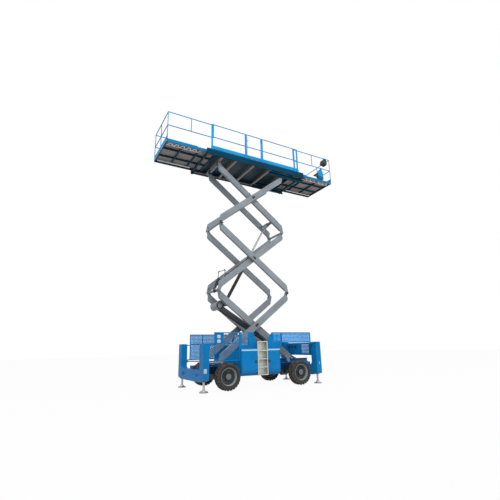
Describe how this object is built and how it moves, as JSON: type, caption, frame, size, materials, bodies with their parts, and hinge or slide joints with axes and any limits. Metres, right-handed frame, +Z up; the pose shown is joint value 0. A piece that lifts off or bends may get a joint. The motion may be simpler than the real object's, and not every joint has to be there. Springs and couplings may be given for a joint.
{
  "type": "rough-terrain scissor lift",
  "caption": "Self-propelled rough-terrain scissor lift with crossed arms, outriggers and sliding deck extensions, raised.",
  "frame": {"origin": "on the ground under the middle of the whole machine", "axes": "+X along the machine towards the steered wheels and operator's console, +Y towards the far side, away from the entry ladder, +Z up"},
  "size_m": [7.69, 2.29, 9.6369],
  "materials": {
    "deck_blue": "dark blue paint, satin",
    "tyre": "moulded rubber, matt",
    "rim": "grey paint",
    "arm_paint": "grey paint, semi-gloss",
    "chrome_rod": "hard chrome, polished",
    "cylinder_black": "black paint, satin",
    "ladder": "mill finish",
    "deck_metal": "pressed plate, worn",
    "mesh_wire": "blue powder coat",
    "black_plastic": "moulded, matt",
    "axle_black": "black paint, oily",
    "leg_steel": "ground steel",
    "rail_paint": "blue paint, semi-gloss",
    "blue_paint": "blue paint, semi-gloss"
  },
  "bodies": {
    "chassis": {"chassis_frame": "blue_paint", "scissor_mounts": "blue_paint", "rear_outrigger_frame": "blue_paint", "front_outrigger_frame": "blue_paint", "rear_axle": "axle_black", "front_axle": "axle_black", "service_box_near": "blue_paint", "service_box_far": "blue_paint", "entry_ladder": "ladder", "engine_block": "axle_black", "guard_panels_near": "blue_paint", "guard_panels_far": "blue_paint", "guard_mesh_near": "mesh_wire", "guard_mesh_far": "mesh_wire"},
    "lower_barrels": {"lower_cylinder_barrels": "cylinder_black"},
    "lower_rods": {"lower_cylinder_rods": "chrome_rod"},
    "upper_barrel": {"upper_cylinder_barrel": "cylinder_black"},
    "upper_rod": {"upper_cylinder_rod": "chrome_rod"},
    "platform": {"main_deck": "deck_metal", "deck_frame": "deck_blue", "near_guard_rails": "rail_paint", "far_guard_rails": "rail_paint"},
    "gate": {"entry_gate": "rail_paint"},
    "rear_extension": {"rear_extension_deck": "deck_metal", "rear_extension_rails": "rail_paint"},
    "front_extension": {"front_extension_deck": "deck_metal", "front_extension_rails": "rail_paint", "control_console": "black_plastic", "platform_cabinet": "rail_paint"},
    "stage1_outer": {"stage1_outer_arms": "arm_paint"},
    "stage1_inner": {"stage1_inner_arms": "arm_paint"},
    "stage2_outer": {"stage2_outer_arms": "arm_paint"},
    "stage2_inner": {"stage2_inner_arms": "arm_paint"},
    "stage3_outer": {"stage3_outer_arms": "arm_paint"},
    "stage3_inner": {"stage3_inner_arms": "arm_paint"},
    "wheel_front_near": {"tyre_front_near": "tyre", "rim_front_near": "rim"},
    "knuckle_near": {"steering_knuckle_near": "axle_black"},
    "leg_front_near": {"outrigger_leg_front_near": "leg_steel"},
    "wheel_front_far": {"tyre_front_far": "tyre", "rim_front_far": "rim"},
    "knuckle_far": {"steering_knuckle_far": "axle_black"},
    "leg_front_far": {"outrigger_leg_front_far": "leg_steel"},
    "wheel_rear_near": {"tyre_rear_near": "tyre", "rim_rear_near": "rim"},
    "leg_rear_near": {"outrigger_leg_rear_near": "leg_steel"},
    "wheel_rear_far": {"tyre_rear_far": "tyre", "rim_rear_far": "rim"},
    "leg_rear_far": {"outrigger_leg_rear_far": "leg_steel"},
    "rear_door_near": {"door_rear_near": "blue_paint"},
    "front_door_near": {"door_front_near": "blue_paint"},
    "rear_door_far": {"door_rear_far": "blue_paint"},
    "front_door_far": {"door_front_far": "blue_paint"}
  },
  "joints": [
    {"name": "lift", "type": "hinge", "parent": "chassis", "child": "stage1_outer", "pos_m": [-1.625, 0, 0.815], "axis": [0, -1, 0], "range_deg": [-37.3, 11.4]},
    {"name": "cross_1", "type": "hinge", "parent": "stage1_outer", "child": "stage1_inner", "pos_m": [-0.21413, 0, 2.05448], "axis": [0, -1, 0], "range_deg": [-22.82, 74.62]},
    {"name": "apex_12", "type": "hinge", "parent": "stage1_outer", "child": "stage2_outer", "pos_m": [1.19675, 0, 3.29397], "axis": [0, -1, 0], "range_deg": [-22.82, 74.62]},
    {"name": "cross_2", "type": "hinge", "parent": "stage2_outer", "child": "stage2_inner", "pos_m": [-0.21413, 0, 4.53345], "axis": [0, -1, 0], "range_deg": [-74.62, 22.82]},
    {"name": "apex_23", "type": "hinge", "parent": "stage2_outer", "child": "stage3_outer", "pos_m": [-1.625, 0, 5.77293], "axis": [0, -1, 0], "range_deg": [-74.62, 22.82]},
    {"name": "cross_3", "type": "hinge", "parent": "stage3_outer", "child": "stage3_inner", "pos_m": [-0.21413, 0, 7.01242], "axis": [0, -1, 0], "range_deg": [-22.82, 74.62]},
    {"name": "deck_pivot", "type": "hinge", "parent": "stage3_inner", "child": "platform", "pos_m": [-1.625, 0, 8.2519], "axis": [0, -1, 0], "range_deg": [-37.32, 11.42]},
    {"name": "lower_barrel_pivot", "type": "hinge", "parent": "stage1_inner", "child": "lower_barrels", "pos_m": [-1.47489, 0, 2.75877], "axis": [0, -1, 0], "range_deg": [-7.85, 2.41]},
    {"name": "lower_rod_stroke", "type": "slide", "parent": "lower_barrels", "child": "lower_rods", "axis": [0.8621, 0, -0.5067], "range_m": [-0.97751, 0.29945]},
    {"name": "upper_barrel_pivot", "type": "hinge", "parent": "stage1_inner", "child": "upper_barrel", "pos_m": [-1.10494, 0, 2.97685], "axis": [0, -1, 0], "range_deg": [-88.79, 27.15]},
    {"name": "upper_rod_stroke", "type": "slide", "parent": "upper_barrel", "child": "upper_rod", "axis": [0.4994, 0, 0.8663], "range_m": [-1.07516, 0.3293]},
    {"name": "steer_near", "type": "hinge", "parent": "chassis", "child": "knuckle_near", "pos_m": [1.305, -0.74, 0.425], "axis": [0, 0, 1], "range_deg": [-35, 35]},
    {"name": "roll_front_near", "type": "hinge", "parent": "knuckle_near", "child": "wheel_front_near", "pos_m": [1.305, -0.995, 0.425], "axis": [0, 1, 0], "continuous": true},
    {"name": "leg_front_near_lift", "type": "slide", "parent": "chassis", "child": "leg_front_near", "axis": [0, 0, 1], "range_m": [0, 0.23]},
    {"name": "steer_far", "type": "hinge", "parent": "chassis", "child": "knuckle_far", "pos_m": [1.305, 0.74, 0.425], "axis": [0, 0, 1], "range_deg": [-35, 35]},
    {"name": "roll_front_far", "type": "hinge", "parent": "knuckle_far", "child": "wheel_front_far", "pos_m": [1.305, 0.995, 0.425], "axis": [0, 1, 0], "continuous": true},
    {"name": "leg_front_far_lift", "type": "slide", "parent": "chassis", "child": "leg_front_far", "axis": [0, 0, 1], "range_m": [0, 0.23]},
    {"name": "roll_rear_near", "type": "hinge", "parent": "chassis", "child": "wheel_rear_near", "pos_m": [-1.555, -0.995, 0.425], "axis": [0, 1, 0], "continuous": true},
    {"name": "leg_rear_near_lift", "type": "slide", "parent": "chassis", "child": "leg_rear_near", "axis": [0, 0, 1], "range_m": [0, 0.23]},
    {"name": "roll_rear_far", "type": "hinge", "parent": "chassis", "child": "wheel_rear_far", "pos_m": [-1.555, 0.995, 0.425], "axis": [0, 1, 0], "continuous": true},
    {"name": "leg_rear_far_lift", "type": "slide", "parent": "chassis", "child": "leg_rear_far", "axis": [0, 0, 1], "range_m": [0, 0.23]},
    {"name": "rear_door_near_swing", "type": "hinge", "parent": "chassis", "child": "rear_door_near", "pos_m": [-1.065, -1.09, 0.9], "axis": [0, 0, -1], "range_deg": [0, 95]},
    {"name": "front_door_near_swing", "type": "hinge", "parent": "chassis", "child": "front_door_near", "pos_m": [0.395, -1.09, 0.9], "axis": [0, 0, 1], "range_deg": [0, 95]},
    {"name": "rear_door_far_swing", "type": "hinge", "parent": "chassis", "child": "rear_door_far", "pos_m": [-1.065, 1.09, 0.9], "axis": [0, 0, 1], "range_deg": [0, 95]},
    {"name": "front_door_far_swing", "type": "hinge", "parent": "chassis", "child": "front_door_far", "pos_m": [0.395, 1.09, 0.9], "axis": [0, 0, -1], "range_deg": [0, 95]},
    {"name": "gate_swing", "type": "hinge", "parent": "platform", "child": "gate", "pos_m": [0.073, -0.881, 9.0379], "axis": [0, 0, -1], "range_deg": [0, 90]},
    {"name": "rear_extension_slide", "type": "slide", "parent": "platform", "child": "rear_extension", "axis": [1, 0, 0], "range_m": [0, 1.4]},
    {"name": "front_extension_slide", "type": "slide", "parent": "platform", "child": "front_extension", "axis": [-1, 0, 0], "range_m": [0, 1.5]}
  ],
  "couplings": [
    {"joint": "cross_1", "follows": "lift", "ratio": -2},
    {"joint": "apex_12", "follows": "lift", "ratio": -2},
    {"joint": "cross_2", "follows": "lift", "ratio": 2},
    {"joint": "apex_23", "follows": "lift", "ratio": 2},
    {"joint": "cross_3", "follows": "lift", "ratio": -2},
    {"joint": "deck_pivot", "follows": "lift", "ratio": 1},
    {"joint": "lower_barrel_pivot", "follows": "lift", "ratio": 0.21},
    {"joint": "lower_rod_stroke", "follows": "lift", "m_per_rad": 1.5},
    {"joint": "upper_barrel_pivot", "follows": "lift", "ratio": 2.38},
    {"joint": "upper_rod_stroke", "follows": "lift", "m_per_rad": 1.65},
    {"joint": "steer_far", "follows": "steer_near", "ratio": 1}
  ]
}
